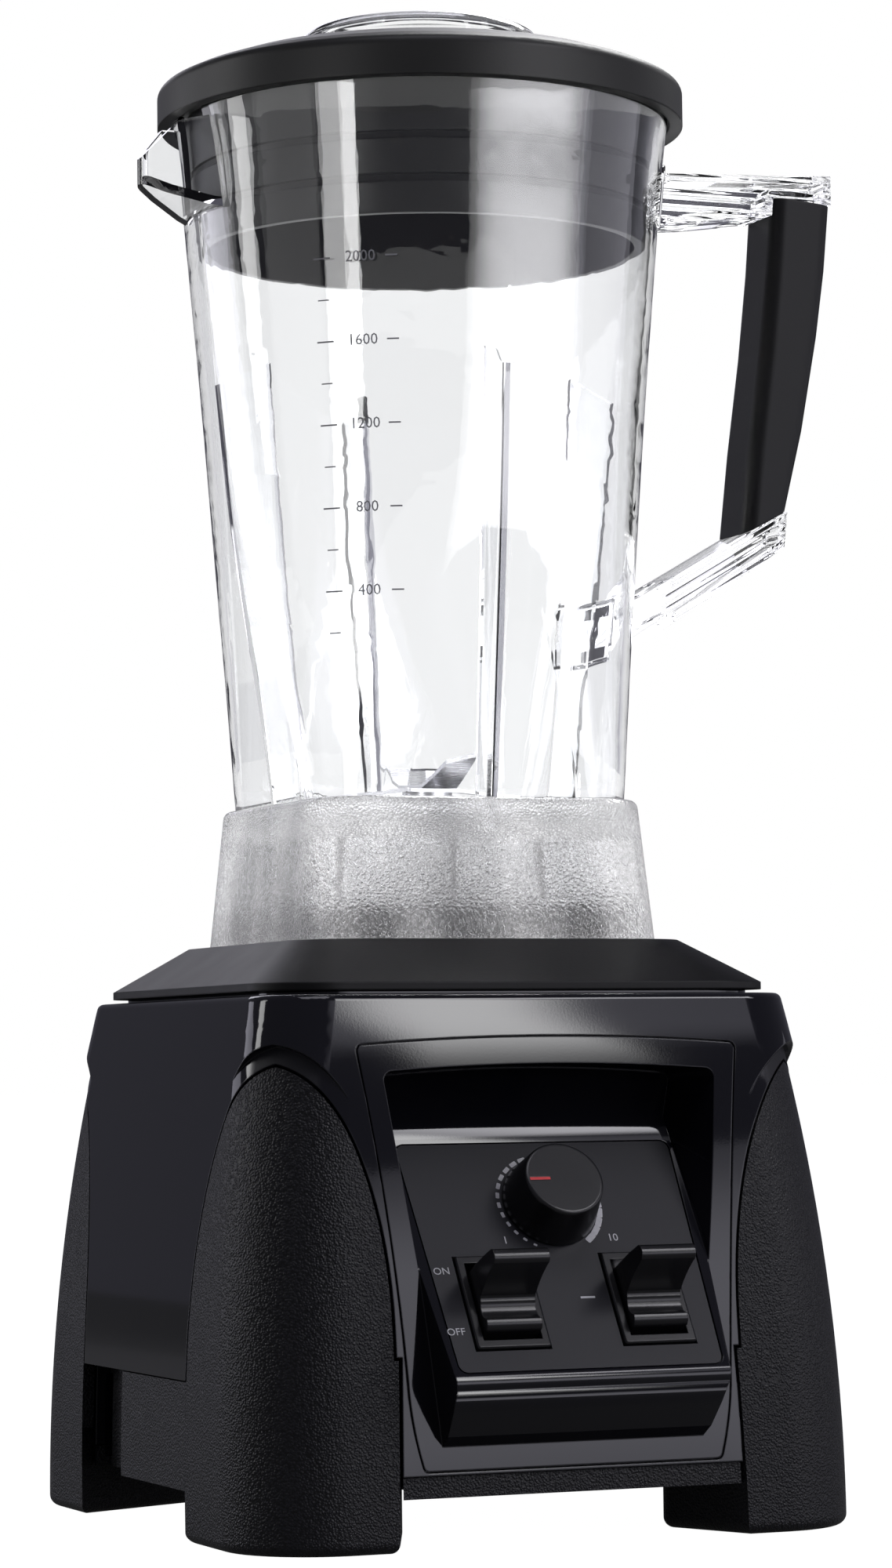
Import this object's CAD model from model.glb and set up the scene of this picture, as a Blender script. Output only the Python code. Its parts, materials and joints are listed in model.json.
import json
from math import cos, pi, radians, sin

import bpy
from mathutils import Matrix, Vector


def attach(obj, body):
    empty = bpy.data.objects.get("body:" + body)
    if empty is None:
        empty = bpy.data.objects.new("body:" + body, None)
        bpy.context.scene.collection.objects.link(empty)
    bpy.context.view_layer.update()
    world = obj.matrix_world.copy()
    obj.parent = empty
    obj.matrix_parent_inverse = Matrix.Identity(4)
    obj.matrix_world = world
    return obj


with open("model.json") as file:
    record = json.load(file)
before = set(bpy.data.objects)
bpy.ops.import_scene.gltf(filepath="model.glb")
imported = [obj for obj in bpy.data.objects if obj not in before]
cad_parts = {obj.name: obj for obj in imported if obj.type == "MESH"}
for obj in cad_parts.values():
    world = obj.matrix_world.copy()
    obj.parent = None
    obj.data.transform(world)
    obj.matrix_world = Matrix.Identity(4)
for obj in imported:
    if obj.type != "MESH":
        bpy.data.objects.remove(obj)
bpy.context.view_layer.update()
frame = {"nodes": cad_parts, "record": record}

node = frame["nodes"]


# ---------------------------------------------------------------- nodes
FLOAT, COLOUR, VECTOR = "NodeSocketFloat", "NodeSocketColor", "NodeSocketVector"
MIX_PLACES = {"FLOAT": (2, 3, 0), "VECTOR": (4, 5, 1), "RGBA": (6, 7, 2)}


def new_effect(name, inputs, outputs):
    """An empty node group with its sockets, and its two ends."""
    group = bpy.data.node_groups.new(name, "ShaderNodeTree")
    for socket, kind, value in inputs:
        made = group.interface.new_socket(socket, in_out="INPUT", socket_type=kind)
        if value is not None:
            made.default_value = value
    for socket, kind in outputs:
        group.interface.new_socket(socket, in_out="OUTPUT", socket_type=kind)
    return group, group.nodes.new("NodeGroupInput").outputs, group.nodes.new("NodeGroupOutput")


def add_node(tree, kind, settings=None, **inputs):
    """A node with its settings, and its inputs set to values or linked from sockets.

    An input goes by its name, or by the letter i and its number where the names repeat.
    """
    made = tree.nodes.new(kind)
    for key, value in (settings or {}).items():
        setattr(made, key, value)
    for key, value in inputs.items():
        by_number = key[0] == "i" and key[1:].isdigit()
        socket = made.inputs[int(key[1:]) if by_number else key.replace("_", " ")]
        if isinstance(value, bpy.types.NodeSocket):
            tree.links.new(value, socket)
        else:
            socket.default_value = value
    return made


def link(tree, target, **sockets):
    """Link sockets to a node's inputs by name."""
    for key, socket in sockets.items():
        tree.links.new(socket, target.inputs[key.replace("_", " ")])


def by_place(values):
    """Values as inputs that go by their numbers."""
    return {"i%d" % place: value for place, value in enumerate(values)}


def reckon(tree, operation, *values):
    """The result of a sum on numbers."""
    return add_node(tree, "ShaderNodeMath", {"operation": operation}, **by_place(values)).outputs[0]


def reckon_vector(tree, operation, *values):
    """The outputs of a sum on vectors."""
    return add_node(tree, "ShaderNodeVectorMath", {"operation": operation}, **by_place(values)).outputs


def ramp(tree, value, span, reach=(0.0, 1.0), smooth=False, clamp=True):
    """A value carried over from a span to a reach."""
    settings = {"interpolation_type": "SMOOTHSTEP" if smooth else "LINEAR", "clamp": clamp}
    return add_node(tree, "ShaderNodeMapRange", settings, Value=value, From_Min=span[0], From_Max=span[1],
                    To_Min=reach[0], To_Max=reach[1]).outputs[0]


def mix(tree, kind, share, first, second):
    """A blend of two numbers, vectors or colours."""
    low, high, out = MIX_PLACES[kind]
    inputs = {"i0": share, "i%d" % low: first, "i%d" % high: second}
    return add_node(tree, "ShaderNodeMix", {"data_type": kind}, **inputs).outputs[out]


def noise(tree, place, scale, detail):
    """The value of a noise texture."""
    return add_node(tree, "ShaderNodeTexNoise", Vector=place, Scale=scale, Detail=detail).outputs["Fac"]


def axes(tree, vector):
    """The X, Y and Z of a vector."""
    return add_node(tree, "ShaderNodeSeparateXYZ", Vector=vector).outputs


def true_axes(tree):
    """The X, Y and Z of the surface's own normal."""
    return axes(tree, tree.nodes.new("ShaderNodeNewGeometry").outputs["Normal"])


# ---------------------------------------------------------------- objects and colours
WHITE = (1, 1, 1)


def only(piece):
    """Select one object and nothing else."""
    bpy.ops.object.select_all(action="DESELECT")
    piece.select_set(True)
    bpy.context.view_layer.objects.active = piece


def add_object(add, **settings):
    """A new object at the origin from one of the operators that add objects."""
    bpy.ops.object.select_all(action="DESELECT")
    add(location=(0, 0, 0), **settings)
    return bpy.context.object


def cool(red):
    """A bluish white, the cooler the less red it has."""
    return (red, red - 0.01, 1.0)


def grey(level, blue=0.0):
    """A grey with a little more blue."""
    return (level, level, level + blue, 1)


# ---------------------------------------------------------------- camera, lights and floor
LIGHTS_FACE = Vector((0, 0, 0.25))


def place_camera():
    """A long lens low in front of the blender, a little to its left."""
    turn, tilt, swing, roll = radians(-22.49), radians(3.73), radians(-0.24), radians(0.66)
    distance, height, lens, far_clip = 1.52657, 0.14922, 102.2, 200
    forward = Matrix.Rotation(swing, 3, "Z") @ Vector((-sin(turn), cos(turn), 0))
    right = Vector((forward.y, -forward.x, 0))
    level = cos(tilt) * forward + sin(tilt) * Vector((0, 0, 1))
    upright = cos(tilt) * Vector((0, 0, 1)) - sin(tilt) * forward
    side = cos(roll) * right - sin(roll) * upright
    top = sin(roll) * right + cos(roll) * upright
    camera = bpy.data.objects.new("camera", bpy.data.cameras.new("camera"))
    camera.data.lens = lens
    camera.data.clip_end = far_clip
    place = Matrix((side, top, -level)).transposed().to_4x4()
    place.translation = (distance * sin(turn), -distance * cos(turn), height)
    camera.matrix_world = place
    bpy.context.scene.collection.objects.link(camera)
    bpy.context.scene.camera = camera


def rim_falloff(tree, rim):
    """One at the middle of a soft box, falling smoothly to rim at its edges."""
    foot_and_peak = (0.0, 0.25)
    spot = axes(tree, tree.nodes.new("ShaderNodeNewGeometry").outputs["Parametric"])
    humps = []
    for axis in ("X", "Y"):
        hump = reckon(tree, "MULTIPLY", spot[axis], reckon(tree, "SUBTRACT", 1.0, spot[axis]))
        humps.append(ramp(tree, hump, foot_and_peak, (rim, 1.0), smooth=True))
    return reckon(tree, "MINIMUM", *humps)


def soft_box(name, azimuth, distance, middle, size, brightness, colour, rim, only_on):
    """A soft box that stands round the object at an azimuth and faces its axis.

    With a rim it is brightest at its middle and falls to that share of its brightness at its edges. With
    only_on, a collection, flags keep it off everything else.
    """
    width, height = size
    lamp = bpy.data.lights.new(name, "AREA")
    lamp.shape = "RECTANGLE"
    lamp.size, lamp.size_y = width, height
    lamp.energy = brightness * pi * width * height
    lamp.color = colour
    if rim is not None:
        lamp.use_nodes = True
        link(lamp.node_tree, lamp.node_tree.nodes["Emission"], Strength=rim_falloff(lamp.node_tree, rim))
    box = bpy.data.objects.new(name, lamp)
    turn = radians(azimuth)
    box.location = (distance * sin(turn), -distance * cos(turn), middle)
    box.rotation_euler = (LIGHTS_FACE - box.location).to_track_quat("-Z", "Y").to_euler()
    if only_on is not None:
        box.light_linking.receiver_collection = only_on
    bpy.context.scene.collection.objects.link(box)


def set_up_soft_boxes():
    """The lights of the jug, lid and plug, and then the lights that fall on everything."""
    upper = bpy.data.collections.new("jug_and_lid")
    for name in ("jug", "lid", "plug"):
        upper.objects.link(node[name])
    # name, azimuth, distance, height of its middle, width and height, brightness, colour, rim
    on_upper = (
        ("left_edge_light", -55.6, 2.2, 0.1, (0.28, 1.3), 9.0, WHITE, None),
        ("left_inner_light", -64.5, 2.2, 0.1, (0.42, 1.3), 4.2, WHITE, None),
        ("left_light", -88, 2.3, 0.1, (1.3, 1.3), 0.5, WHITE, None),
        ("left_far_light", -140, 2.3, 0.4, (1.2, 1.6), 0.9, WHITE, None),
        ("right_light", 30, 2.6, 0.36, (2.9, 0.90), 5.2, WHITE, 0.18),
        ("lid_side_light", 112, 1.8, 1.25, (1.0, 0.6), 0.9, WHITE, None),
        ("lid_top_light", 128, 1.5, 1.9, (1.3, 0.9), 8.0, WHITE, None),
    )
    on_everything = (
        ("front_light", 34, 2.6, 0.36, (2.9, 0.90), 2.1, cool(0.90), 0.3),
        ("right_far_light", 78, 2.6, 0.4, (1.9, 1.0), 0.7, cool(0.90), None),
        ("corner_light", -115, 2.3, 1.05, (0.46, 1.2), 5.0, WHITE, None),
        ("left_back_light", -141, 2.4, 0.3, (0.9, 1.2), 1.5, cool(0.88), None),
        ("brow_light", 24.5, 2.6, 1.6, (0.26, 1.2), 9.0, WHITE, 0.0),
        ("brow_wide_light", 24.5, 2.6, 1.5, (1.3, 0.7), 1.0, cool(0.88), 0.1),
        ("high_light", 38, 1.7, 1.58, (1.0, 0.55), 9.0, cool(0.95), 0.15),
        ("back_light", 172, 2.6, 1.65, (1.8, 0.8), 2.0, cool(0.92), None),
        ("top_light", -10, 0.7, 2.4, (1.4, 1.0), 2.2, cool(0.92), None),
    )
    for boxes, only_on in ((on_upper, upper), (on_everything, None)):
        for box in boxes:
            soft_box(*box, only_on)


def light_the_room():
    """A dim room that is a bright window of paper behind the blender, seen white by the camera."""
    bpy.context.scene.view_settings.view_transform = "Standard"
    set_up_soft_boxes()
    world = bpy.data.worlds.new("studio")
    bpy.context.scene.world = world
    world.use_nodes = True
    tree = world.node_tree
    window_way, window_edge = (0.3825, 0.924, 0.0), (0.60, 0.93)
    room_and_window, room_in_reflections = (0.10, 1.0), 0.13
    path = tree.nodes.new("ShaderNodeLightPath").outputs
    way = tree.nodes.new("ShaderNodeTexCoord").outputs["Generated"]
    ahead = reckon_vector(tree, "DOT_PRODUCT", way, window_way)["Value"]
    window = ramp(tree, ahead, window_edge, room_and_window, smooth=True)
    through = mix(tree, "FLOAT", path["Is Transmission Ray"], room_in_reflections, window)
    seen = reckon(tree, "MAXIMUM", through, path["Is Camera Ray"])
    tint = mix(tree, "RGBA", seen, (*cool(0.80), 1), (*WHITE, 1))
    link(tree, tree.nodes["Background"], Color=tint, Strength=seen)


def lay_floor():
    """White paper that glows for the camera, so that it runs into the backdrop with no edge."""
    floor = add_object(bpy.ops.mesh.primitive_circle_add, vertices=64, radius=40, fill_type="NGON")
    floor.name = "floor"
    paper = bpy.data.materials.new("paper_floor")
    paper.use_nodes = True
    tree = paper.node_tree
    shader = tree.nodes["Principled BSDF"]
    shader.inputs["Base Color"].default_value = grey(0.12)
    shader.inputs["Roughness"].default_value = 0.9
    shader.inputs["Emission Color"].default_value = (*WHITE, 1)
    share_in_mirrors = 0.05
    path = tree.nodes.new("ShaderNodeLightPath").outputs
    seen = reckon(tree, "MAXIMUM", path["Is Camera Ray"], path["Is Transmission Ray"])
    mirrored = reckon(tree, "MULTIPLY", path["Is Glossy Ray"], share_in_mirrors)
    link(tree, shader, Emission_Strength=reckon(tree, "MAXIMUM", seen, mirrored))
    floor.data.materials.append(paper)


# ---------------------------------------------------------------- effects that the materials share
def leather_grain():
    """Moulded leather grain: small pebbles with creases between them."""
    group, start, end = new_effect(
        "leather grain",
        [("Vector", VECTOR, None), ("Scale", FLOAT, 900.0)],
        [("Height", FLOAT), ("Crease", FLOAT)],
    )
    dome_span, crease_span, fine_share = (0.1, 0.7), (0.45, 0.8), 0.5
    pebbles = add_node(group, "ShaderNodeTexVoronoi", {"feature": "SMOOTH_F1"}, Vector=start["Vector"],
                       Scale=start["Scale"], Smoothness=0.25).outputs["Distance"]
    dome = ramp(group, pebbles, dome_span, (1.0, 0.0))
    fine = noise(group, start["Vector"], scale=3000.0, detail=1.0)
    link(group, end, Height=reckon(group, "MULTIPLY_ADD", fine, fine_share, dome),
         Crease=ramp(group, pebbles, crease_span))
    return group


def moulded_plastic():
    """The slow drift of tone and the faint flow texture of moulded plastic."""
    group, start, end = new_effect(
        "moulded plastic",
        [("Vector", VECTOR, None), ("Scale", FLOAT, 40.0), ("Colour", COLOUR, (0.02, 0.02, 0.02, 1)),
         ("Second Colour", COLOUR, (0.03, 0.03, 0.03, 1)), ("Roughness", FLOAT, 0.3), ("Spread", FLOAT, 0.06)],
        [("Colour", COLOUR), ("Roughness", FLOAT), ("Height", FLOAT)],
    )
    middle = 0.5
    drift = noise(group, start["Vector"], start["Scale"], detail=4.0)
    tone = mix(group, "RGBA", drift, start["Colour"], start["Second Colour"])
    swing = reckon(group, "SUBTRACT", drift, middle)
    rough = reckon(group, "MULTIPLY_ADD", swing, start["Spread"], start["Roughness"])
    flow = noise(group, start["Vector"], scale=1500.0, detail=2.0)
    link(group, end, Colour=tone, Roughness=rough, Height=flow)
    return group


def brushed_metal():
    """Fine turning or brushing lines, with a drift of tone."""
    group, start, end = new_effect(
        "brushed metal",
        [("Vector", VECTOR, None), ("Stretch", VECTOR, (40.0, 40.0, 2500.0)),
         ("Colour", COLOUR, (0.6, 0.6, 0.6, 1)), ("Second Colour", COLOUR, (0.5, 0.5, 0.5, 1)),
         ("Roughness", FLOAT, 0.3)],
        [("Colour", COLOUR), ("Roughness", FLOAT), ("Height", FLOAT)],
    )
    spread = 0.15
    long = reckon_vector(group, "MULTIPLY", start["Vector"], start["Stretch"])[0]
    lines = noise(group, long, scale=1.0, detail=3.0)
    tone = mix(group, "RGBA", lines, start["Colour"], start["Second Colour"])
    rough = reckon(group, "MULTIPLY_ADD", lines, spread, start["Roughness"])
    link(group, end, Colour=tone, Roughness=rough, Height=lines)
    return group


effects = {"grain": leather_grain(), "plastic": moulded_plastic(), "metal": brushed_metal()}


# ---------------------------------------------------------------- the shell's soft curves
def leaned(tree, normal, rise):
    """A normal that faces up by rise."""
    up = add_node(tree, "ShaderNodeCombineXYZ", Z=rise).outputs[0]
    return reckon_vector(tree, "NORMALIZE", reckon_vector(tree, "ADD", normal, up)[0])[0]


def cove_normal(tree, place, normal):
    """The recess's back wall rolls over from its bright foot to its dark top."""
    behind_cover, above_console, facing_front = (-0.0928, -0.0918), (0.1258, 0.1268), (-0.55, -0.7)
    roll, lean_at_foot_and_top = (0.1264, 0.1364), (0.28, 0.60)
    spot = axes(tree, place)
    inside = ramp(tree, spot["Y"], behind_cover)
    above = ramp(tree, spot["Z"], above_console)
    facing = ramp(tree, true_axes(tree)["Y"], facing_front)
    lean = ramp(tree, spot["Z"], roll, lean_at_foot_and_top)
    coved = add_node(tree, "ShaderNodeCombineXYZ", Y=-1.0, Z=lean).outputs[0]
    there = reckon(tree, "MULTIPLY", reckon(tree, "MULTIPLY", inside, above), facing)
    return reckon_vector(tree, "NORMALIZE", mix(tree, "VECTOR", there, normal, coved))[0]


def lip_normal(tree, place, normal):
    """The console's undercut rolls over softly from its lip."""
    facing_down, before_cover = (-0.3, -0.45), (-0.1255, -0.1265)
    undercut, undercut_lean, tip, tip_lean = (0.0445, 0.0495), (0.0, 0.76), (0.0495, 0.054), (0.0, 0.16)
    spot = axes(tree, place)
    under = ramp(tree, true_axes(tree)["Z"], facing_down)
    out = ramp(tree, spot["Y"], before_cover)
    roll = ramp(tree, spot["Z"], undercut, undercut_lean, smooth=True)
    lean = reckon(tree, "ADD", roll, ramp(tree, spot["Z"], tip, tip_lean))
    return leaned(tree, normal, reckon(tree, "MULTIPLY", lean, reckon(tree, "MULTIPLY", under, out)))


def crowned_normal(tree, place, normal):
    """The shell's top is gently crowned: its walls face up more and more towards their top edge."""
    crown, crown_lean = (0.150, 0.172), (0.0, 0.06)
    return leaned(tree, normal, ramp(tree, axes(tree, place)["Z"], crown, crown_lean, smooth=True))


def crescent_mask(tree, place):
    """One in the stepped-back crescents above the four pods, nought on the rest of the shell."""
    rise, reach_edge, top_edge, corner_edge = (0.141, 0.154), (0.0352, 0.0344), (0.1585, 0.1575), (0.012, 0.015)
    # the middle of the corner's round form moves inwards with height
    middles = {"X": (0.0661, 0.0643), "Y": (0.0694, 0.0675)}
    quarter = axes(tree, reckon_vector(tree, "ABSOLUTE", place)[0])
    from_middle = []
    for axis, middle in middles.items():
        middle_here = ramp(tree, quarter["Z"], rise, middle, clamp=False)
        from_middle.append(reckon(tree, "SUBTRACT", quarter[axis], middle_here))
    flat = add_node(tree, "ShaderNodeCombineXYZ", X=from_middle[0], Y=from_middle[1]).outputs[0]
    inside = ramp(tree, reckon_vector(tree, "LENGTH", flat)["Value"], reach_edge)
    mask = reckon(tree, "MULTIPLY", inside, ramp(tree, quarter["Z"], top_edge))
    for side in from_middle:
        mask = reckon(tree, "MULTIPLY", mask, ramp(tree, side, corner_edge))
    return mask


def arm_grooves(tree, place):
    """Rounded ribs along the handle's two clear arms."""
    arm_root, arms_parting, lower_arm_slope, ribs = (0.0885, 0.0905), (0.41, 0.405), -0.575, 1500.0
    spot = axes(tree, place)
    on_arm = ramp(tree, spot["X"], arm_root)
    drop = reckon(tree, "MULTIPLY", spot["X"], ramp(tree, spot["Z"], arms_parting))
    across = reckon(tree, "MULTIPLY_ADD", drop, lower_arm_slope, spot["Z"])
    return reckon(tree, "MULTIPLY", reckon(tree, "SINE", reckon(tree, "MULTIPLY", across, ribs)), on_arm)


# ---------------------------------------------------------------- materials
def new_material(name, **plain):
    """A material whose shader has these plain values; returns it, its tree, shader and object coordinates."""
    made = bpy.data.materials.new(name)
    made.use_nodes = True
    tree = made.node_tree
    shader = tree.nodes["Principled BSDF"]
    for key, value in plain.items():
        shader.inputs[key.replace("_", " ")].default_value = value
    place = tree.nodes.new("ShaderNodeTexCoord").outputs["Object"]
    return made, tree, shader, place


def use_effect(tree, name, place, **values):
    """The outputs of a shared effect."""
    made = tree.nodes.new("ShaderNodeGroup")
    made.node_tree = effects[name]
    tree.links.new(place, made.inputs["Vector"])
    for key, value in values.items():
        made.inputs[key.replace("_", " ")].default_value = value
    return made.outputs


def bump(tree, shader, height, strength, distance, normal=None):
    """Relief on the surface, over a normal if one is given."""
    made = add_node(tree, "ShaderNodeBump", Strength=strength, Distance=distance, Height=height)
    if normal is not None:
        link(tree, made, Normal=normal)
    link(tree, shader, Normal=made.outputs[0])


def plastic(name, level, second, roughness, spread, flow, edge=0.0, blue=0.0, scale=40.0, cove=False,
            crescents=False, **plain):
    """A moulded plastic or rubber finish.

    Its grey drifts between level and second and its roughness by spread; flow is the strength of its
    texture, and edge the radius that its edges seem to have.
    """
    crescent_roughness = 0.6
    made, tree, shader, place = new_material(name, **plain)
    finish = use_effect(tree, "plastic", place, Scale=scale, Colour=grey(level, blue),
                        Second_Colour=grey(second, blue), Roughness=roughness, Spread=spread)
    rough, normal = finish["Roughness"], None
    if crescents:
        rough = mix(tree, "FLOAT", crescent_mask(tree, place), rough, crescent_roughness)
    link(tree, shader, Base_Color=finish["Colour"], Roughness=rough)
    if edge:
        normal = add_node(tree, "ShaderNodeBevel", {"samples": 6}, Radius=edge).outputs[0]
    if cove:
        normal = lip_normal(tree, place, cove_normal(tree, place, normal))
    if crescents or cove:
        normal = crowned_normal(tree, place, normal)
    bump(tree, shader, finish["Height"], strength=flow, distance=0.0002, normal=normal)
    return made


def grained_plastic():
    """The legs' leather-grained plastic."""
    made, tree, shader, place = new_material("leather_grained_plastic", Specular_IOR_Level=0.32)
    finish = use_effect(tree, "plastic", place, Scale=25.0, Colour=grey(0.009, 0.002),
                        Second_Colour=grey(0.013, 0.002), Roughness=0.34, Spread=0.06)
    grain = use_effect(tree, "grain", place, Scale=1250.0)
    dark = mix(tree, "RGBA", grain["Crease"], finish["Colour"], grey(0.005))
    link(tree, shader, Base_Color=dark, Roughness=finish["Roughness"])
    bump(tree, shader, grain["Height"], strength=0.7, distance=0.00028)
    return made


def metal(name, colour, second, roughness, stretch):
    """A turned, brushed or wound metal whose lines are drawn out where stretch is low."""
    made, tree, shader, place = new_material(name, Metallic=1.0)
    finish = use_effect(tree, "metal", place, Stretch=stretch, Colour=(*colour, 1), Second_Colour=(*second, 1),
                        Roughness=roughness)
    link(tree, shader, Base_Color=finish["Colour"], Roughness=finish["Roughness"])
    bump(tree, shader, finish["Height"], strength=0.15, distance=0.0001)
    return made


def clear_jug():
    """Clear moulded plastic, smooth above and frosted with a sparkle in the skirt."""
    made, tree, shader, place = new_material(
        "clear_jug_plastic", Base_Color=(0.985, 0.99, 0.995, 1), Transmission_Weight=1.0, IOR=1.5,
        Emission_Strength=1.0)
    skirt_top, clear_roughness, drift_span, frost_roughness = (0.2405, 0.2375), 0.015, (0.3, 0.7), (0.12, 0.25)
    speck_span, speck_glow = (0.55, 1.0), (0.05, 0.14)
    streak_stretch, streak_span, streak_share = (45.0, 45.0, 14.0), (0.38, 0.62), (0.35, 1.5)
    dark, silvery = (0, 0, 0, 1), (1, 0.985, 1, 1)
    skirt = ramp(tree, axes(tree, place)["Z"], skirt_top)
    sparkle = add_node(tree, "ShaderNodeTexVoronoi", Vector=place, Scale=1100.0).outputs
    frost = ramp(tree, noise(tree, place, scale=30.0, detail=2.0), drift_span, frost_roughness)
    link(tree, shader, Roughness=mix(tree, "FLOAT", skirt, clear_roughness, frost))
    # the frosted skirt scatters the light that comes into it, brightest in its specks
    red = add_node(tree, "ShaderNodeSeparateColor", Color=sparkle["Color"]).outputs[0]
    glint = ramp(tree, red, speck_span, speck_glow)
    tall = reckon_vector(tree, "MULTIPLY", place, streak_stretch)[0]
    streak = ramp(tree, noise(tree, tall, scale=1.0, detail=1.0), streak_span, streak_share)
    glow = reckon(tree, "MULTIPLY", reckon(tree, "MULTIPLY", glint, streak), skirt)
    link(tree, shader, Emission_Color=mix(tree, "RGBA", glow, dark, silvery))
    speck = reckon(tree, "MULTIPLY", sparkle["Distance"], skirt)
    relief = reckon(tree, "ADD", speck, arm_grooves(tree, place))
    bump(tree, shader, relief, strength=1.0, distance=0.0006)
    return made


def clear_plug():
    """Clear moulded plastic with a faint drift in its polish."""
    made, tree, shader, place = new_material(
        "clear_plug_plastic", Base_Color=(0.97, 0.975, 0.98, 1), Transmission_Weight=1.0, IOR=1.5)
    roughness = (0.02, 0.05)
    drift = noise(tree, place, scale=60.0, detail=2.0)
    link(tree, shader, Roughness=ramp(tree, drift, (0.0, 1.0), roughness))
    return made


def print_ink(name, colour, worn):
    """Printed ink or paint, a little worn in places."""
    made, tree, shader, place = new_material(name)
    finish = use_effect(tree, "plastic", place, Scale=900.0, Colour=(*colour, 1), Second_Colour=(*worn, 1),
                        Roughness=0.5, Spread=0.1)
    link(tree, shader, Base_Color=finish["Colour"], Roughness=finish["Roughness"])
    return made


gloss = {"level": 0.005, "second": 0.007, "roughness": 0.05, "spread": 0.02, "flow": 0.01, "edge": 0.0006,
         "blue": 0.003}
finishes = {
    "gloss_shell": plastic("gloss_black_shell", **gloss, crescents=True),
    "textured_leg": grained_plastic(),
    "panel": plastic("satin_control_plate", level=0.013, second=0.017, roughness=0.42, spread=0.06, flow=0.12,
                     blue=0.004, Specular_IOR_Level=0.3),
    "switch_black": plastic("switch_plastic", level=0.008, second=0.011, roughness=0.24, spread=0.05, flow=0.03,
                            edge=0.0004, blue=0.001),
    "knob_black": plastic("knob_plastic", level=0.01, second=0.013, roughness=0.26, spread=0.05, flow=0.03,
                          edge=0.0005, blue=0.001),
    "pointer_red": print_ink("red_pointer_paint", colour=(0.72, 0.035, 0.04), worn=(0.6, 0.03, 0.035)),
    "rubber": plastic("matt_rubber", level=0.0035, second=0.005, roughness=0.45, spread=0.1, flow=0.12,
                      edge=0.0008, Specular_IOR_Level=0.3),
    "clear": clear_jug(),
    "lid_black": plastic("soft_lid_rubber", level=0.0075, second=0.011, roughness=0.42, spread=0.08, flow=0.12,
                         edge=0.0008, Specular_IOR_Level=0.3),
    "steel": metal("brushed_steel", colour=(0.62, 0.62, 0.64), second=(0.5, 0.5, 0.52), roughness=0.2,
                   stretch=(60.0, 60.0, 2500.0)),
    "chrome": metal("bright_plating", colour=(0.8, 0.8, 0.82), second=(0.74, 0.74, 0.76), roughness=0.06,
                    stretch=(60.0, 60.0, 600.0)),
    "iron": metal("stacked_laminations", colour=(0.2, 0.2, 0.21), second=(0.1, 0.1, 0.1), roughness=0.4,
                  stretch=(20.0, 20.0, 4000.0)),
    "copper": metal("enamelled_copper", colour=(0.62, 0.27, 0.11), second=(0.42, 0.16, 0.06), roughness=0.25,
                    stretch=(1500.0, 1500.0, 300.0)),
    "brass": metal("brass", colour=(0.72, 0.56, 0.25), second=(0.6, 0.45, 0.18), roughness=0.25,
                   stretch=(300.0, 300.0, 900.0)),
    "carbon": plastic("pressed_carbon", level=0.02, second=0.04, roughness=0.5, spread=0.1, flow=0.3,
                      scale=900.0),
    "board": plastic("green_circuit_board", level=0.03, second=0.05, roughness=0.35, spread=0.1, flow=0.1),
    "nylon": plastic("off_white_nylon", level=0.7, second=0.62, roughness=0.4, spread=0.1, flow=0.1),
    "zinc": metal("zinc_plate", colour=(0.55, 0.56, 0.58), second=(0.42, 0.43, 0.46), roughness=0.3,
                  stretch=(200.0, 200.0, 200.0)),
    "seal": plastic("grey_silicone", level=0.4, second=0.32, roughness=0.5, spread=0.1, flow=0.1),
}
own_finishes = {"plug": clear_plug(), "front_cover": plastic("gloss_black_cover", **gloss, cove=True)}


def dress_the_nodes():
    """Give every node its own finish, or the finish of its slot."""
    for part in frame["record"]["subparts"]:
        body = node[part["node"]]
        finish = own_finishes.get(part["node"], finishes[part["material_slot"]])
        for slot in body.material_slots:
            slot.material = finish
        if not body.material_slots:
            body.data.materials.append(finish)


# ---------------------------------------------------------------- printed marks
ink = print_ink("pale_grey_ink", colour=(0.62, 0.62, 0.64), worn=(0.42, 0.42, 0.44))
frost_ink = print_ink("frosted_scale_ink", colour=(0.42, 0.42, 0.44), worn=(0.32, 0.32, 0.33))
plate_up = Vector((0, 0.54902, 0.83581))
plate_out = Vector((0, -0.83581, 0.54902))
knob_middle = Vector((0, -0.0979, 0.1074))
plate_face = max((corner.co - knob_middle).dot(plate_out) for corner in node["control_panel"].data.vertices)
ink_lift = 0.00004


def settle(piece, name, place, finish, body):
    """Give a piece its place in its mesh, its name, its finish and the body that it rides on."""
    piece.name = name
    piece.matrix_world = place
    only(piece)
    bpy.ops.object.transform_apply(location=True, rotation=True, scale=True)
    piece.data.materials.clear()
    piece.data.materials.append(finish)
    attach(piece, body)


def words(text, size, fineness, thickness=0.0):
    """A word or a number as a mesh, flat if it has no thickness."""
    made = add_object(bpy.ops.object.text_add)
    made.data.body = text
    made.data.size = size
    made.data.align_x, made.data.align_y = "CENTER", "CENTER"
    made.data.extrude = thickness / 2
    made.data.resolution_u = fineness
    only(made)
    bpy.ops.object.convert(target="MESH")
    return bpy.context.object


def dash(length, width):
    """A short printed stroke with cut corners."""
    corner_cut = 0.2 * min(length, width)
    made = add_object(bpy.ops.mesh.primitive_plane_add, size=1)
    bpy.ops.object.mode_set(mode="EDIT")
    bpy.ops.transform.resize(value=(length, width, 1))
    bpy.ops.mesh.bevel(affect="VERTICES", offset=corner_cut, segments=2)
    bpy.ops.mesh.select_all(action="SELECT")
    bpy.ops.mesh.extrude_region_move(TRANSFORM_OT_translate={"value": (0, 0, ink_lift)})
    bpy.ops.mesh.select_all(action="SELECT")
    bpy.ops.mesh.normals_make_consistent(inside=False)
    bpy.ops.object.mode_set(mode="OBJECT")
    return made


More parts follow.
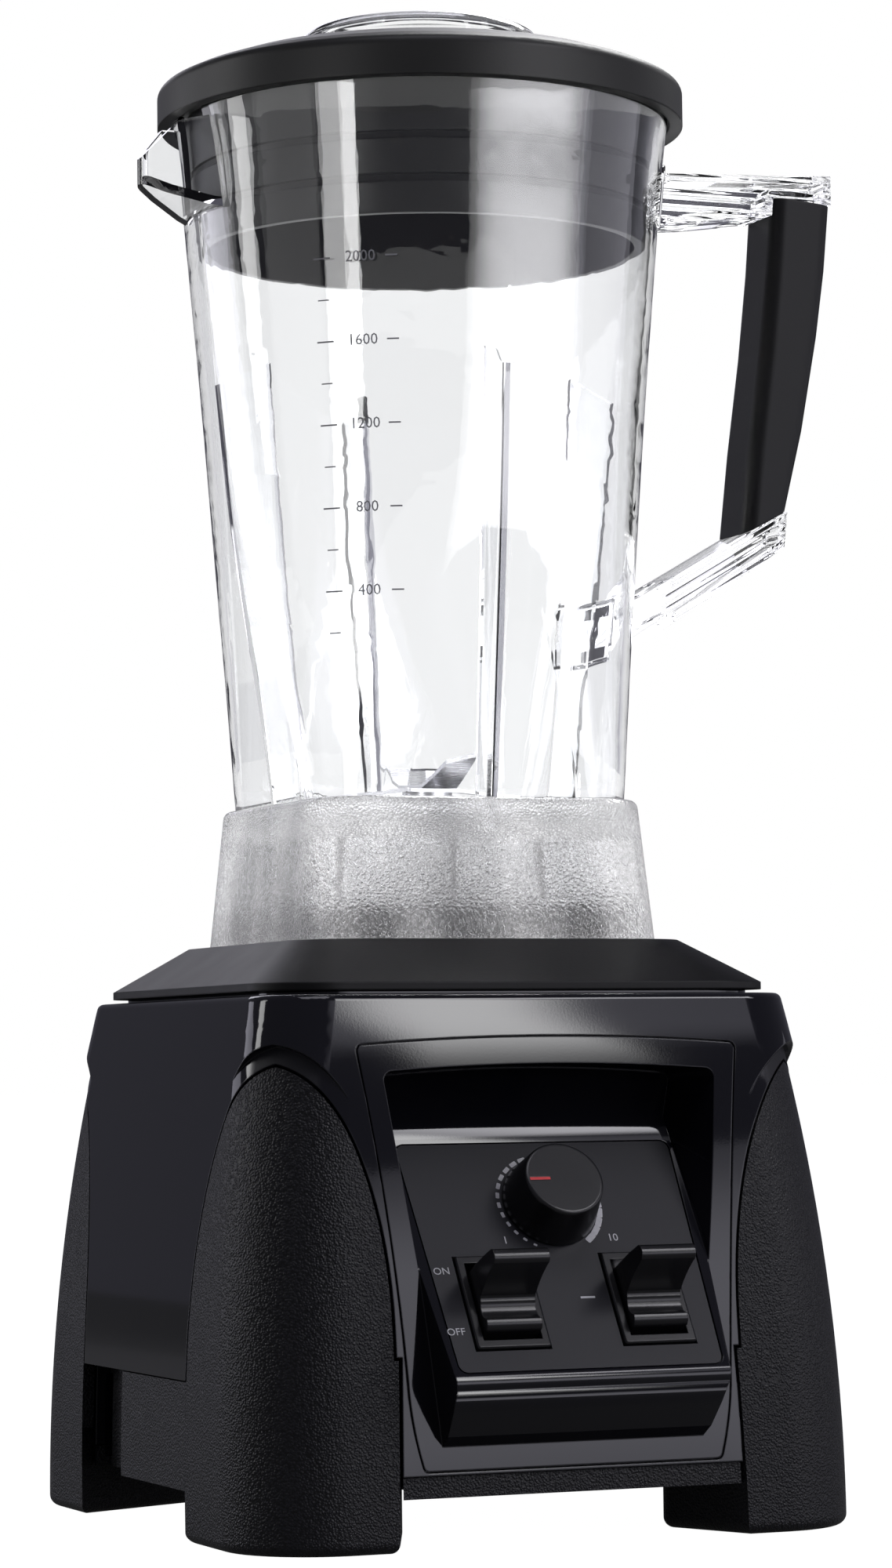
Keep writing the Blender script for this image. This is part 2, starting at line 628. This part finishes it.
def plate_place(across, up):
    """The place of a mark on the control plate, from the knob's axis."""
    where = knob_middle + Vector((across, 0, 0)) + up * plate_up + (plate_face + ink_lift / 4) * plate_out
    place = Matrix((Vector((1, 0, 0)), plate_up, plate_out)).transposed().to_4x4()
    place.translation = where
    return place


def print_the_plate():
    """The words by the switches, and the dial's numbers and strokes."""
    for name, text, across, up, size in (
        ("print_on", "ON", -0.043, -0.024, 0.0036), ("print_off", "OFF", -0.0433, -0.046, 0.0036),
        ("print_low", "1", -0.0184, -0.0133, 0.0038), ("print_high", "10", 0.0192, -0.0133, 0.0038),
    ):
        settle(words(text, size, fineness=3, thickness=ink_lift), name, plate_place(across, up), ink, "base")
    settle(dash(length=0.005, width=0.0007), "print_pulse", plate_place(across=0.0047, up=-0.035), ink, "base")
    # the scale round the dial thickens clockwise from its low end to its high end
    strokes, radius, start, sweep, thickening = 26, 0.0174, 197, 302, 0.6
    for count in range(strokes):
        part = count / (strokes - 1)
        growth = part ** thickening
        angle = radians(start + part * sweep)
        place = plate_place(radius * sin(angle), radius * cos(angle)) @ Matrix.Rotation(-angle, 4, "Z")
        stroke = dash(length=0.0008 + 0.0030 * growth, width=0.0005 + 0.0016 * growth)
        settle(stroke, "dial_stroke_%02d" % (count + 1), place, ink, "base")


def jug_place(height, along):
    """The place of a mark held off the jug's wall, along the scale's line round it."""
    line, wall_radius, held_off = radians(-40), 0.08, 0.1
    turn = line + along / wall_radius
    out = Vector((sin(turn), -cos(turn), 0))
    up = Vector((0, 0, 1))
    place = Matrix((up.cross(out), up, out)).transposed().to_4x4()
    place.translation = held_off * out + height * up
    return place


def wrap_on_jug(piece, place):
    """Lay a flat mark on the jug's wall and give it the thickness of ink."""
    piece.matrix_world = place
    wrap = piece.modifiers.new("wrap", "SHRINKWRAP")
    wrap.target = node["jug"]
    wrap.wrap_method = "PROJECT"
    wrap.use_project_z = True
    wrap.use_negative_direction = True
    wrap.use_positive_direction = False
    wrap.offset = 0.00003
    ink_film = piece.modifiers.new("ink_film", "SOLIDIFY")
    ink_film.thickness, ink_film.offset = 0.00002, 1
    only(piece)
    bpy.ops.object.modifier_apply(modifier="wrap")
    bpy.ops.object.modifier_apply(modifier="ink_film")
    return piece


def flat_tick(length, width):
    """A flat tick in short lengths, so that it can bend round the wall."""
    made = add_object(bpy.ops.mesh.primitive_grid_add, x_subdivisions=8, y_subdivisions=1, size=1)
    bpy.ops.object.mode_set(mode="EDIT")
    bpy.ops.mesh.select_all(action="SELECT")
    bpy.ops.transform.resize(value=(length, width, 1))
    bpy.ops.object.mode_set(mode="OBJECT")
    return made


def print_the_jug():
    """A plain volume scale on the jug: numbered ticks with shorter ticks between them."""
    step, top = 0.0274, 0.418
    for count, number in enumerate(("2000", "1600", "1200", "800", "400")):
        height = top - count * step
        for name, piece, along, rise in (
            ("jug_number_", words(number, size=0.0052, fineness=2), 0.004, 0.0),
            ("jug_tick_left_", flat_tick(length=0.006, width=0.0005), -0.0095, 0.0),
            ("jug_tick_right_", flat_tick(length=0.004, width=0.0005), 0.0145, 0.0),
            ("jug_half_tick_", flat_tick(length=0.004, width=0.0004), -0.0095, -step / 2),
        ):
            place = jug_place(height + rise, along)
            settle(wrap_on_jug(piece, place), name + number, place, frost_ink, "jug_unit")


place_camera()
light_the_room()
lay_floor()
dress_the_nodes()
print_the_plate()
print_the_jug()
